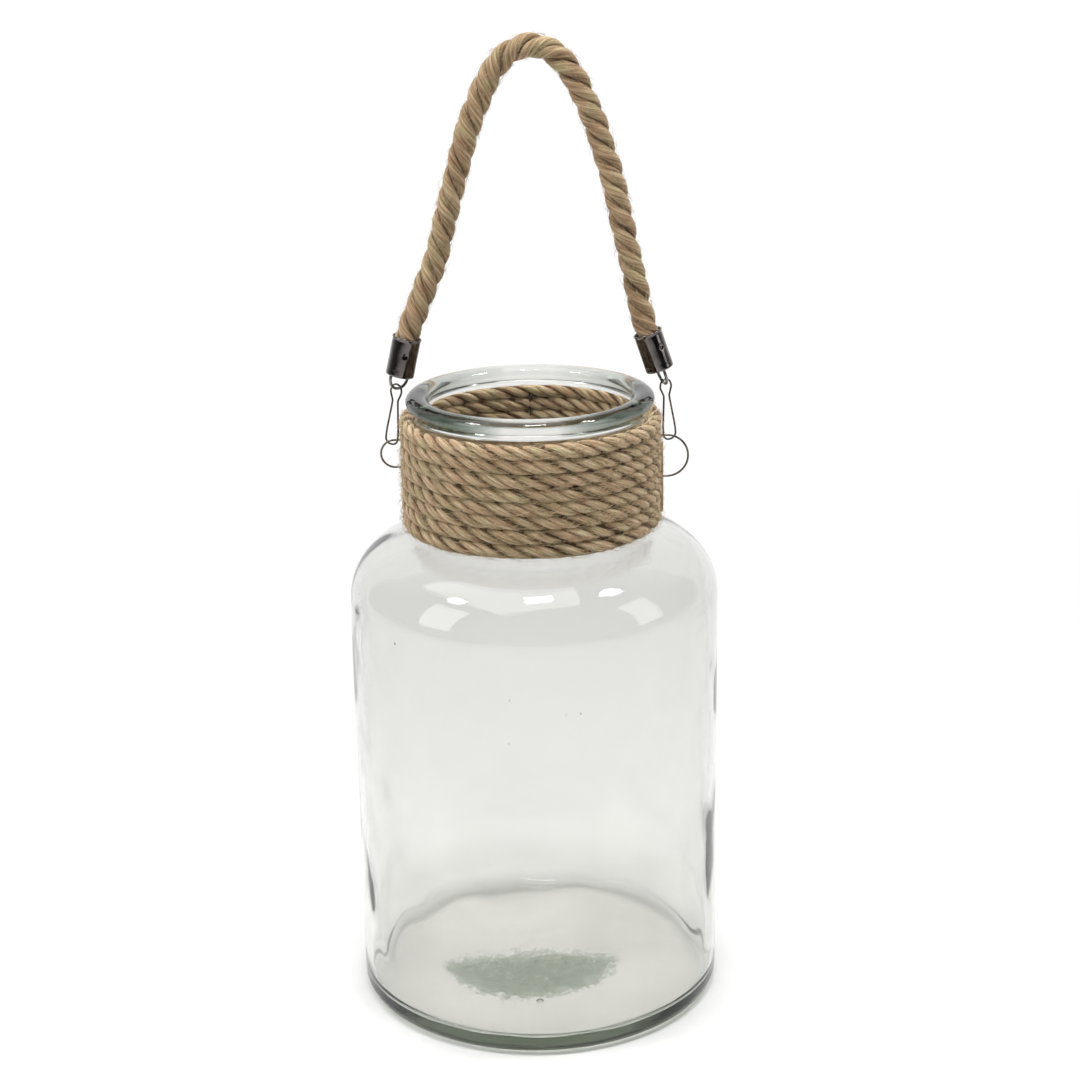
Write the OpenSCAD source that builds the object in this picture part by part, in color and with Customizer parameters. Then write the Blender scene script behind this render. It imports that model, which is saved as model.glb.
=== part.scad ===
// Hanging lantern: a thick hand-blown glass jar with a jute-wrapped neck and a
// jute rope bail. The bail hangs on two bent wire links, one at each side, and
// each link swings on a wire ear that the neck cord binds against the glass.
// Millimetres, +Z up, +X across the handle. The origin is the middle of the
// base, on the surface that the jar stands on.

/* [Jar] */
// Height from the base to the top of the rolled rim
jar_h = 300; // [280:1:320]
// Outer diameter of the body
body_d = 176; // [170:1:180]
// Height at which the shoulder starts to curve in
shoulder_z = 201; // [196:1:204]
// Radius of the shoulder curve
shoulder_r = 30; // [28:0.5:31]
// Steepest lean of the shoulder, from upright
shoulder_lean = 72; // [68:1:75]
// Outer diameter of the neck
neck_d = 110; // [108:0.5:112]
// Radius of the curve between shoulder and neck
neck_fillet = 6; // [5:0.5:7]
// Thickness of the glass wall
wall = 4.2; // [3.5:0.1:5]
// Thickness of the glass base at its edge
base_t = 7; // [5:0.5:9]
// Width of the rolled rim, seen from above
rim_w = 10.8; // [10:0.1:12]
// Height of the rolled rim
rim_h = 7.2; // [6.5:0.1:9]
// Radius of the outer edge under the body
foot_r = 7; // [4:0.5:10]
// Radius of the shallow hollow under the base
hollow_r = 46; // [30:1:60]
// Depth of that hollow
hollow_depth = 1.2; // [0.5:0.1:2]

/* [Neck cord] */
// Diameter of the cord round the neck
cord_d = 6.3; // [5.8:0.1:6.4]
// Number of turns
turns = 8; // [6:1:8]
// Rise from one turn to the next
turn_pitch = 6.55; // [6.5:0.05:6.6]
// Height of the middle of the lowest turn
first_turn_z = 240.2; // [240:0.1:241]
// Diameter of the cord tail that covers the turns on one side
tail_d = 4; // [3:0.5:5]

/* [Wire ears] */
// Diameter of the ear wire
ear_wire = 1; // [0.9:0.1:1.2]
// Height of an ear's upper run, where the link hangs
ear_z = 277.4; // [277:0.1:278]
// How far out the straight upper run reaches
ear_reach = 64; // [63.5:0.1:64.5]
// Bend radius of the small ear, at the left
ear_bend_left = 6.6; // [6:0.1:8]
// Bend radius of the large ear, at the right
ear_bend_right = 10; // [9:0.1:10.5]
// How far below the ears' upper runs the neck wire lies
neck_wire_drop = 10; // [8:0.5:10.5]

/* [Links] */
// Diameter of the link wire
link_wire = 0.9; // [0.8:0.1:1]
// Height of the axis through the tops of both links
link_top_z = 304.3; // [304:0.1:305]
// Play between a link's foot and its ear, wire middle to wire middle
link_drop = 1.9; // [1.7:0.1:2.1]
// Half width of a link at its foot
link_foot = 4; // [3.8:0.1:4.1]
// Half width of a link at its waist
link_waist = 1.9; // [1.7:0.1:2.1]
// Half width of a link at its head
link_head = 3.6; // [3.4:0.1:3.8]

/* [Bail] */
// Diameter of the rope
rope_d = 11; // [10:0.5:11.5]
// Outer diameter of a ferrule
ferrule_d = 13.2; // [13:0.1:14]
// Length of a ferrule
ferrule_l = 18.7; // [17:0.1:20]
// Wall thickness of a ferrule
ferrule_wall = 0.8; // [0.5:0.1:1]
// Diameter of the eye wire
eye_wire = 1.4; // [1.2:0.1:1.5]
// Bend radius of an eye
eye_bend = 5; // [4.5:0.1:5]

/* [Hidden] */

// Sides of a round wire, and of a large turned piece.
ROUND = 48;
TURNED = 120;

// The rope's route in X and Z, from the left ferrule's inside over the top to
// the right one's. The rope hangs in the plane Y = 0.
ROPE_ROUTE = [
    [-59.6, 312.2], [-58, 319.5], [-56.3, 326.8], [-54.2, 333.2], [-51, 341],
    [-47.2, 350], [-43.2, 360], [-39.7, 371], [-36.8, 382], [-33.9, 393],
    [-31, 404], [-28, 415], [-24.4, 426], [-20, 436.5], [-14.8, 446.5],
    [-9, 453.4], [-3, 457.3], [4, 458.5], [10.5, 457], [16.5, 452.5],
    [21.8, 445.5], [27, 435.5], [31.3, 424.5], [35, 413.5], [38.3, 402.5],
    [40.9, 391.5], [43.2, 380.5], [45.5, 369.5], [47.8, 358.5], [50.2, 347.5],
    [52.3, 337], [54.9, 327.1], [57.4, 319.6], [59.7, 312.7],
];

// Sides of the bail: eye and link lean in the plane of the handle, and each
// wire piece is turned about its own length.
LINK_TURN_LEFT = 44;
LINK_TURN_RIGHT = 42;
LINK_FOOT_X_LEFT = 65.6;
LINK_TOP_X_LEFT = 62;
LINK_FOOT_X_RIGHT = 65.5;
LINK_TOP_X_RIGHT = 63.2;
EYE_DROP = 2;
EYE_LEAN_LEFT = 13;
EYE_LEAN_RIGHT = 18.5;
EYE_TURN_LEFT = -40;
EYE_TURN_RIGHT = -72;
EYE_TO_FERRULE_LEFT = 6.4;
EYE_TO_FERRULE_RIGHT = 7.4;
EYE_LEG_INSIDE = 3;
DIMPLE_TURN_LEFT = -98;
DIMPLE_TURN_RIGHT = -50;

body_r = body_d / 2;
neck_r = neck_d / 2;
rim_set_in = 2;
rim_mid_r = neck_r - rim_set_in;
rim_mid_z = jar_h - rim_h / 2;
play = 0.1;
cord_mid_r = neck_r + cord_d / 2 + play;
ear_root_x = neck_r + ear_wire / 2 + 1.5 * play;
neck_wire_r = ear_root_x + ear_wire + play;
link_foot_z = ear_z - link_drop;

// Points on an arc of a circle, from angle a to angle b in n steps.
function arc(centre, r, a, b, n) =
    [for (i = [0:n]) centre + r * [cos(a + (b - a) * i / n), sin(a + (b - a) * i / n)]];

// The middle of the neck fillet: it touches the neck and the shoulder's slope.
shoulder_mid = [body_r - shoulder_r, shoulder_z];
slope_top = shoulder_mid + shoulder_r * [cos(shoulder_lean), sin(shoulder_lean)];
slope_run =
    (slope_top[0] + neck_fillet * cos(shoulder_lean) - neck_r - neck_fillet) / sin(shoulder_lean);
fillet_mid = slope_top
    + slope_run * [-sin(shoulder_lean), cos(shoulder_lean)]
    + neck_fillet * [cos(shoulder_lean), sin(shoulder_lean)];

// The glass surface, offset inwards by t, from the body up to the neck.
function glass_side(t) = concat(
    arc(shoulder_mid, shoulder_r - t, 0, shoulder_lean, 12),
    arc(fillet_mid, neck_fillet + t, shoulder_lean + 180, 180, 6)
);

function reversed(list) = [for (i = [len(list) - 1:-1:0]) list[i]];

module glass_jar() {
    inner_r = body_r - wall;
    floor_r = 5;
    floor_rise = 1.5;
    outer_join = acos(rim_set_in / (rim_w / 2));
    inner_join = 180 + acos((wall - rim_set_in) / (rim_w / 2));
    profile = concat(
        [[0, hollow_depth], [hollow_r, 0]],
        arc([body_r - foot_r, foot_r], foot_r, -90, 0, 6),
        glass_side(0),
        [for (p = arc([0, 0], 0.5, -outer_join, inner_join, 24))
            [rim_mid_r + rim_w * p[0], rim_mid_z + rim_h * p[1]]],
        reversed(glass_side(wall)),
        arc([inner_r - floor_r, base_t + floor_r], floor_r, 0, -90, 5),
        [[0, base_t + floor_rise]]
    );
    color([0.80, 0.86, 0.83, 0.45])
        rotate_extrude($fn = TURNED)
            polygon(profile);
}

// A wire bent in its own XZ plane. It starts up +Z. A "run" goes straight for
// its length, and a "bend" of radius r turns towards +X through its angle.
module bent_wire(steps, d, i = 0) {
    if (i < len(steps)) {
        step = steps[i];
        if (step[0] == "run") {
            cylinder(h = step[1], d = d, $fn = ROUND);
            translate([0, 0, step[1]])
                bent_wire(steps, d, i + 1);
        } else {
            r = step[1];
            angle = step[2];
            translate([r, 0, 0])
                rotate([90, 0, 0])
                    rotate([0, 0, 180 - angle])
                        rotate_extrude(angle = angle, $fn = TURNED)
                            translate([r, 0])
                                circle(d = d, $fn = ROUND);
            translate([r * (1 - cos(angle)), 0, r * sin(angle)])
                rotate([0, angle, 0])
                    bent_wire(steps, d, i + 1);
        }
    }
}

// A closed wire ear, round outside. Its inner leg lies against the neck, and its
// two runs come out between the turns of cord.
module ear(bend) {
    root_bend = 1.6;
    run = ear_reach - ear_root_x - root_bend;
    steps = [
        ["run", run], ["bend", bend, 180],
        ["run", run], ["bend", root_bend, 90],
        ["run", 2 * (bend - root_bend)], ["bend", root_bend, 90],
    ];
    color([0.62, 0.58, 0.52])
        translate([ear_root_x + root_bend, 0, ear_z])
            rotate([0, 90, 0])
                bent_wire(steps, ear_wire);
}

module ear_left() {
    mirror([1, 0, 0])
        ear(ear_bend_left);
}

module ear_right() {
    ear(ear_bend_right);
}

// The wire band that holds both ears against the neck under the cord, with its
// twisted end laid upright at the back.
module neck_wire() {
    band_z = ear_z - neck_wire_drop;
    tail_high = 288;
    color([0.35, 0.33, 0.31]) {
        translate([0, 0, band_z])
            rotate_extrude($fn = TURNED)
                translate([neck_wire_r, 0])
                    circle(d = ear_wire, $fn = ROUND);
        translate([0, neck_wire_r - ear_wire / 2, band_z])
            cylinder(h = tail_high - band_z, d = ear_wire, $fn = ROUND);
    }
}

function unit(v) = v / norm(v);

// A tube swept along points, as one polyhedron. Its cross-section keeps the
// given side direction as nearly as it can.
module tube(points, r, sides, side_dir) {
    n = len(points);
    rings = [
        for (i = [0:n - 1])
            let (
                ahead = unit(points[min(i + 1, n - 1)] - points[max(i - 1, 0)]),
                across = unit(side_dir(i, ahead)),
                up = cross(ahead, across)
            )
            for (k = [0:sides - 1])
                points[i] + r * (cos(360 * (k + 0.5) / sides) * across
                    + sin(360 * (k + 0.5) / sides) * up)
    ];
    side_faces = [
        for (i = [0:n - 2])
            for (k = [0:sides - 1])
                [i * sides + k, i * sides + (k + 1) % sides,
                    (i + 1) * sides + (k + 1) % sides, (i + 1) * sides + k]
    ];
    ends = [
        [for (k = [sides - 1:-1:0]) k],
        [for (k = [0:sides - 1]) (n - 1) * sides + k],
    ];
    polyhedron(rings, concat(side_faces, ends), convexity = 12);
}

// The cord winds clockwise, seen from above. Each turn lies level, and steps up
// by one pitch behind the left-hand ear. It starts beside the right-hand ear,
// and ends where it would have to climb over its own top turn.
STEP_ANGLE = 155;
STEP_HALF = 14;
CORD_START_ANGLE = 15;
WOUND_FROM = STEP_ANGLE + 180 - CORD_START_ANGLE;
WOUND_TO = 360 * turns + 175;
RING_ANGLE = 12;
TAIL_ANGLE = 7;
STUB_ANGLE = 21;
stub_mid_r = cord_mid_r + 2.2;

function smooth(t) = t * t * (3 - 2 * t);

// Height of the cord's middle after winding through the angle a.
function cord_z(a) =
    let (into_step = min(1, max(0, 0.5 + (a % 360 - 180) / (2 * STEP_HALF))))
    first_turn_z + turn_pitch * min(turns - 1, floor(a / 360) + smooth(into_step) - 1);

module neck_cord() {
    points = [
        for (wound = [WOUND_FROM:RING_ANGLE:WOUND_TO])
            let (a = STEP_ANGLE + 180 - wound)
            [cord_mid_r * cos(a), cord_mid_r * sin(a), cord_z(wound)]
    ];
    color([0.68, 0.56, 0.40])
        tube(points, cord_d / 2, 8, function (i, ahead) [points[i][0], points[i][1], 0]);
}

// The cord's lower end, turned up over the turns beside the right-hand ear and
// pressed flat.
module cord_tail() {
    tail_top = 272;
    tail_foot = 237;
    thick = 1.8;
    middle_r = cord_mid_r + (cord_d + thick + play) / 2;
    color([0.74, 0.62, 0.45])
        rotate([0, 0, TAIL_ANGLE])
            translate([middle_r, 0, tail_foot])
                linear_extrude(tail_top - tail_foot) {
                    square([thick, tail_d - thick], center = true);
                    for (side = [-1, 1])
                        translate([0, side * (tail_d - thick) / 2])
                            circle(d = thick, $fn = ROUND);
                }
}

// The cord's upper end, cut short behind the rim at the right.
module cord_stub() {
    stub_d = 3.6;
    stub_h = 5.4;
    top_turn_z = first_turn_z + turn_pitch * (turns - 1);
    color([0.74, 0.62, 0.45])
        rotate([0, 0, STUB_ANGLE])
            translate([stub_mid_r, 0, top_turn_z + 1])
                cylinder(h = stub_h, d = stub_d, $fn = ROUND);
}

// A set drop of glue, on the cord's end at one angle round the neck.
module glue_dab(angle, r, z, d) {
    color([0.80, 0.55, 0.20])
        rotate([0, 0, angle])
            translate([r, 0, z])
                sphere(d = d, $fn = ROUND);
}

module glue_dab_upper() {
    glue_dab(STUB_ANGLE - 3, stub_mid_r, 289.6, 3.2);
}

module glue_dab_lower() {
    glue_dab(TAIL_ANGLE - 1, cord_mid_r + 2.4, 236.8, 3.6);
}

// A link's outline on one side of its middle, from its foot up to its head.
function link_side(foot_z, top_z) = [
    [link_foot * 0.55, foot_z + 0.35],
    [link_foot * 0.93, foot_z + 1.7],
    [link_foot, foot_z + 3.6],
    [link_foot * 0.93, foot_z + 7.5],
    [link_foot * 0.7, foot_z + 13.5],
    [link_waist, top_z - 9],
    [link_waist * 1.02, top_z - 7.5],
    [link_head * 0.86, top_z - 5],
    [link_head, top_z - 3.2],
    [link_head * 0.72, top_z - 0.9],
];

// A smooth closed curve through its key points.
function curve_point(a, b, c, d, t) = 0.5 * (
    2 * b + (c - a) * t + (2 * a - 5 * b + 4 * c - d) * t * t
    + (3 * b - a - 3 * c + d) * t * t * t
);

function closed_curve(keys, steps) =
    let (n = len(keys))
    [
        for (i = [0:n - 1])
            for (s = [0:steps - 1])
                curve_point(
                    keys[(i + n - 1) % n], keys[i],
                    keys[(i + 1) % n], keys[(i + 2) % n], s / steps
                )
    ];

// A closed wire tube: like tube, with its last ring joined to its first.
module wire_loop(points, r, sides, flat_normal) {
    n = len(points);
    rings = [
        for (i = [0:n - 1])
            let (
                ahead = unit(points[(i + 1) % n] - points[(i + n - 1) % n]),
                up = cross(ahead, flat_normal)
            )
            for (k = [0:sides - 1])
                points[i] + r * (cos(360 * k / sides) * flat_normal
                    + sin(360 * k / sides) * up)
    ];
    side_faces = [
        for (i = [0:n - 1])
            for (k = [0:sides - 1])
                [i * sides + k, i * sides + (k + 1) % sides,
                    ((i + 1) % n) * sides + (k + 1) % sides, ((i + 1) % n) * sides + k]
    ];
    polyhedron(rings, side_faces, convexity = 6);
}

// A link: one closed loop of wire, broad at its foot round the ear, narrow at
// its waist and wider again at its head round the eye. It leans from foot_x to
// top_x, and its plane is turned by turn from the plane of the handle.
module link(foot_x, top_x, turn) {
    right = link_side(link_foot_z, link_top_z);
    left = [for (p = reversed(right)) [-p[0], p[1]]];
    outline = closed_curve(concat([[0, link_foot_z]], right, [[0, link_top_z]], left), 4);
    lean = (top_x - foot_x) / (link_top_z - link_foot_z);
    points = [
        for (p = outline)
            [foot_x + lean * (p[1] - link_foot_z) + p[0] * cos(turn), p[0] * sin(turn), p[1]]
    ];
    normal = unit([-sin(turn), cos(turn), lean * sin(turn)]);
    color([0.45, 0.42, 0.38])
        wire_loop(points, link_wire / 2, 8, normal);
}

module link_left() {
    mirror([1, 0, 0])
        link(LINK_FOOT_X_LEFT, LINK_TOP_X_LEFT, LINK_TURN_LEFT);
}

module link_right() {
    link(LINK_FOOT_X_RIGHT, LINK_TOP_X_RIGHT, LINK_TURN_RIGHT);
}

// Puts a piece of the bail's right side in place: its own origin is the middle
// of the eye's bar, and its +Z leans in along the ferrule.
module at_eye(x, lean) {
    translate([x, 0, link_top_z - EYE_DROP])
        rotate([0, -lean, 0])
            children();
}

// An eye: a U of wire whose two legs go up into the ferrule.
module eye(leg, turn) {
    color([0.62, 0.62, 0.64])
        rotate([0, 0, turn])
            translate([-eye_bend, 0, eye_bend + leg])
                rotate([0, 180, 0])
                    mirror([1, 0, 0])
                        bent_wire([
                            ["run", leg], ["bend", eye_bend, 180], ["run", leg],
                        ], eye_wire);
}

// A ferrule: a deep drawn cap with a flared lip at its mouth, two holes in its
// end for the eye's legs and one crimp dimple in its side.
module ferrule(start, turn, dimple_turn) {
    lip = 0.35;
    lip_l = 1;
    edge = 0.6;
    cap_r = ferrule_d / 2;
    bore_r = cap_r - ferrule_wall;
    leg_hole = eye_wire + 0.02;
    dimple_at = 0.58;
    color([0.55, 0.55, 0.57])
        translate([0, 0, start])
            difference() {
                rotate_extrude($fn = TURNED)
                    polygon([
                        [0, 0], [cap_r - edge, 0], [cap_r, edge],
                        [cap_r, ferrule_l - lip_l], [cap_r + lip, ferrule_l],
                        [bore_r + lip, ferrule_l], [bore_r, ferrule_l - lip_l],
                        [bore_r, ferrule_wall], [0, ferrule_wall],
                    ]);
                rotate([0, 0, turn])
                    for (side = [-1, 1])
                        translate([side * eye_bend, 0, -1])
                            cylinder(h = ferrule_wall + 2, d = leg_hole, $fn = ROUND);
                rotate([0, 0, dimple_turn])
                    translate([cap_r - 0.4, 0, ferrule_l * dimple_at])
                        rotate([0, 90, 0])
                            cylinder(h = 1, r1 = 0.4, r2 = 1.4, $fn = ROUND);
            }
}

module eye_left() {
    mirror([1, 0, 0])
        at_eye(LINK_TOP_X_LEFT, EYE_LEAN_LEFT)
            eye(EYE_TO_FERRULE_LEFT - eye_bend + EYE_LEG_INSIDE, EYE_TURN_LEFT);
}

module eye_right() {
    at_eye(LINK_TOP_X_RIGHT, EYE_LEAN_RIGHT)
        eye(EYE_TO_FERRULE_RIGHT - eye_bend + EYE_LEG_INSIDE, EYE_TURN_RIGHT);
}

module ferrule_left() {
    mirror([1, 0, 0])
        at_eye(LINK_TOP_X_LEFT, EYE_LEAN_LEFT)
            ferrule(EYE_TO_FERRULE_LEFT, EYE_TURN_LEFT, DIMPLE_TURN_LEFT);
}

module ferrule_right() {
    at_eye(LINK_TOP_X_RIGHT, EYE_LEAN_RIGHT)
        ferrule(EYE_TO_FERRULE_RIGHT, EYE_TURN_RIGHT, DIMPLE_TURN_RIGHT);
}

module handle_rope() {
    points = [for (p = ROPE_ROUTE) [p[0], 0, p[1]]];
    color([0.66, 0.55, 0.40])
        tube(points, rope_d / 2, 12, function (i, ahead) [0, 1, 0]);
}

glass_jar();
neck_wire();
ear_left();
ear_right();
neck_cord();
cord_tail();
cord_stub();
glue_dab_upper();
glue_dab_lower();
link_left();
link_right();
eye_left();
eye_right();
ferrule_left();
ferrule_right();
handle_rope();
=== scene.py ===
"""A hanging lantern: a hand-blown glass jar with a jute-bound neck, wire ears and links,
and a twisted jute bail in chromed rope caps. Metres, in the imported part's own frame."""

import math
import random

import bpy
import bmesh
import numpy as np
from mathutils import Matrix, Vector, noise


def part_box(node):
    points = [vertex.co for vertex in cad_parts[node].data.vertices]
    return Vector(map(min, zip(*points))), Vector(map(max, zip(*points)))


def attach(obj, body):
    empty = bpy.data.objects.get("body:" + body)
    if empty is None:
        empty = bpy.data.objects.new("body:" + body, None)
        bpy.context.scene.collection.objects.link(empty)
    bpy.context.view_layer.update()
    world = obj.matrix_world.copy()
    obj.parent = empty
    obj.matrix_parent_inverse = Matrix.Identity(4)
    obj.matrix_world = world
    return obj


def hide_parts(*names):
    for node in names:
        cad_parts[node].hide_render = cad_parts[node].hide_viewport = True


MM = 0.001
TAU = 2 * math.pi

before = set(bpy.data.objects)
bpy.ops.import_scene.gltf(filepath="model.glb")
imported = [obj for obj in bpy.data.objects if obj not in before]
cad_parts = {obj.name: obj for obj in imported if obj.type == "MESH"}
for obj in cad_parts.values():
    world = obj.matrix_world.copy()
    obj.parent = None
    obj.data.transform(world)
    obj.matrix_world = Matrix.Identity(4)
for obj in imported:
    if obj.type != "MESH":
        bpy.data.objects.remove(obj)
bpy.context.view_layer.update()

# ---------------------------------------------------------------- camera


def make_camera():
    """Stands in front of the lantern and a little above its handle, and looks slightly down."""
    place = Vector((0, -1.0452, 0.5619))
    aim = Vector((0.0035, 0, 0.2267))
    roll = math.radians(-1.015)
    forward = (aim - place).normalized()
    right = forward.cross(Vector((0, 0, 1))).normalized()
    up = right.cross(forward)
    camera_x = math.cos(roll) * right + math.sin(roll) * up
    camera_y = math.cos(roll) * up - math.sin(roll) * right
    turn = Matrix((camera_x, camera_y, -forward)).transposed()
    data = bpy.data.cameras.new("camera")
    data.sensor_width = 36
    data.lens = 76.74
    data.clip_start = 0.05
    data.clip_end = 60
    camera = bpy.data.objects.new("camera", data)
    camera.matrix_world = Matrix.Translation(place) @ turn.to_4x4()
    bpy.context.scene.collection.objects.link(camera)
    bpy.context.scene.camera = camera
    return place


camera_place = make_camera()

# ---------------------------------------------------------------- mesh helpers


def mesh_piece(name, verts, faces, material, uv=None, shade_and_tone=None):
    """A smooth-shaded mesh object. uv and tint hold one entry for each vertex."""
    mesh = bpy.data.meshes.new(name)
    mesh.from_pydata(np.asarray(verts).tolist(), [], faces)
    mesh.materials.append(material)
    mesh.polygons.foreach_set("use_smooth", [True] * len(mesh.polygons))
    corners = np.zeros(len(mesh.loops), np.int32)
    mesh.loops.foreach_get("vertex_index", corners)
    if uv is not None:
        layer = mesh.uv_layers.new(name="along")
        layer.data.foreach_set("uv", np.asarray(uv, np.float32)[corners].ravel())
    if shade_and_tone is not None:
        layer = mesh.attributes.new("shade_and_tone", "FLOAT", "POINT")
        layer.data.foreach_set("value", np.asarray(shade_and_tone, np.float32))
    mesh.update()
    piece = bpy.data.objects.new(name, mesh)
    bpy.context.scene.collection.objects.link(piece)
    return piece


def face_outwards(piece):
    """Turns the faces of a closed mesh to look out."""
    form = bmesh.new()
    form.from_mesh(piece.data)
    bmesh.ops.recalc_face_normals(form, faces=form.faces)
    form.to_mesh(piece.data)
    form.free()
    return piece


def ball(subdivisions):
    """The vertices and faces of a ball of radius 1."""
    form = bmesh.new()
    bmesh.ops.create_icosphere(form, subdivisions=subdivisions, radius=1)
    verts = [v.co.copy() for v in form.verts]
    faces = [[v.index for v in f.verts] for f in form.faces]
    form.free()
    return verts, faces


def unit(v):
    return v / np.linalg.norm(v, axis=-1, keepdims=True)


def grid_faces(rings, sides, first=0, closed=False):
    """Quads between rings of points, each ring closed on itself."""
    i = np.arange(rings if closed else rings - 1)[:, None]
    k = np.arange(sides)[None, :]
    a = i * sides + k
    b = i * sides + (k + 1) % sides
    c = (i + 1) % rings * sides + (k + 1) % sides
    d = (i + 1) % rings * sides + k
    return (np.stack([a, b, c, d], axis=-1).reshape(-1, 4) + first).tolist()


def end_caps(rings, sides, first=0):
    """The two faces that close a tube's ends."""
    low = [first + k for k in range(sides)][::-1]
    high = [first + (rings - 1) * sides + k for k in range(sides)]
    return [low, high]


def frames(points, side, closed=False):
    """The directions ahead, across and up at each point of a route."""
    if closed:
        ahead = unit(np.roll(points, -1, axis=0) - np.roll(points, 1, axis=0))
    else:
        ahead = unit(np.gradient(points, axis=0))
    side = np.broadcast_to(side, points.shape)
    across = unit(side - (side * ahead).sum(1, keepdims=True) * ahead)
    return ahead, across, np.cross(ahead, across)


def tube_points(points, across, up, radius, sides):
    """Rings of points round a route."""
    angle = np.arange(sides) * TAU / sides
    radius = np.broadcast_to(np.asarray(radius, float).reshape(-1, 1, 1), (len(points), 1, 1))
    ring = np.cos(angle)[None, :, None] * across[:, None] + np.sin(angle)[None, :, None] * up[:, None]
    return (points[:, None] + radius * ring).reshape(-1, 3)


def smooth_route(keys, spacing, closed=False):
    """Evenly spaced points on a smooth curve through its key points."""
    keys = np.asarray(keys, float)
    count = len(keys)
    dense = []
    for i in range(count if closed else count - 1):
        if closed:
            a, b, c, d = (keys[(i + k) % count] for k in (-1, 0, 1, 2))
        else:
            a, b, c, d = (keys[min(max(i + k, 0), count - 1)] for k in (-1, 0, 1, 2))
        t = np.arange(24)[:, None] / 24
        dense.append(0.5 * (2 * b + (c - a) * t + (2 * a - 5 * b + 4 * c - d) * t**2
                            + (3 * b - a - 3 * c + d) * t**3))
    dense = np.vstack(dense + [keys[:1] if closed else keys[-1:]])
    run = np.concatenate([[0], np.cumsum(np.linalg.norm(np.diff(dense, axis=0), axis=1))])
    steps = max(8, round(run[-1] / spacing))
    at = np.linspace(0, run[-1], steps + 1)
    points = np.stack([np.interp(at, run, dense[:, k]) for k in range(3)], axis=1)
    return points[:-1] if closed else points


def wander(count, step, reach, seed):
    """A smooth random wave along a route: one value for each point, about -reach to reach."""
    return np.array([noise.noise(Vector((i * step, seed * 7.31, 0.5))) for i in range(count)]) * 2 * reach


# ---------------------------------------------------------------- material helpers


def new_material(name):
    material = bpy.data.materials.new(name)
    material.use_nodes = True
    tree = material.node_tree
    shader = tree.nodes["Principled BSDF"]
    return material, tree, shader


def add(tree, kind, **values):
    """A node with its properties and input values set. An input's name has _ for spaces."""
    node = tree.nodes.new(kind)
    for name, value in values.items():
        socket = node.inputs.get(name.replace("_", " "))
        if socket is not None:
            socket.default_value = value
        else:
            setattr(node, name, value)
    return node


def ramp(tree, source, stops):
    node = tree.nodes.new("ShaderNodeValToRGB")
    elements = node.color_ramp.elements
    while len(elements) < len(stops):
        elements.new(0.5)
    for element, (place, colour) in zip(elements, stops):
        element.position = place
        element.color = (*colour, 1)
    tree.links.new(source, node.inputs["Fac"])
    return node


def mix_colour(tree, factor, a, b, blend="MIX"):
    """Mixes colours a and b, each of them a socket or a colour."""
    node = tree.nodes.new("ShaderNodeMix")
    node.data_type = "RGBA"
    node.blend_type = blend
    for socket, value in ((node.inputs[0], factor), (node.inputs[6], a), (node.inputs[7], b)):
        if isinstance(value, bpy.types.NodeSocket):
            tree.links.new(value, socket)
        elif isinstance(value, tuple):
            socket.default_value = (*value, 1)
        else:
            socket.default_value = value
    return node.outputs[2]


def maths(tree, operation, a, b=0.0, c=0.0, clamp=False):
    node = tree.nodes.new("ShaderNodeMath")
    node.operation = operation
    node.use_clamp = clamp
    for socket, value in zip(node.inputs, (a, b, c)):
        if isinstance(value, bpy.types.NodeSocket):
            tree.links.new(value, socket)
        else:
            socket.default_value = value
    return node.outputs[0]


def bump(tree, shader, height, strength, distance):
    node = add(tree, "ShaderNodeBump", Strength=strength, Distance=distance)
    tree.links.new(height, node.inputs["Height"])
    tree.links.new(node.outputs["Normal"], shader.inputs["Normal"])


def object_noise(tree, **values):
    """Noise fixed to the piece's own coordinates, as a value socket."""
    where = add(tree, "ShaderNodeTexCoord")
    node = add(tree, "ShaderNodeTexNoise", **values)
    tree.links.new(where.outputs["Object"], node.inputs["Vector"])
    return node.outputs["Fac"]


def linear(red, green, blue):
    """A colour given as 0 to 255 on a screen, as the linear values that shaders take."""
    return tuple(((c / 255 + 0.055) / 1.055) ** 2.4 if c > 10 else c / 3294
                 for c in (red, green, blue))


# ---------------------------------------------------------------- materials

JUTE_DARK = linear(112, 88, 66)
JUTE_MIDDLE = linear(204, 180, 147)
JUTE_LIGHT = linear(244, 230, 204)


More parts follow.
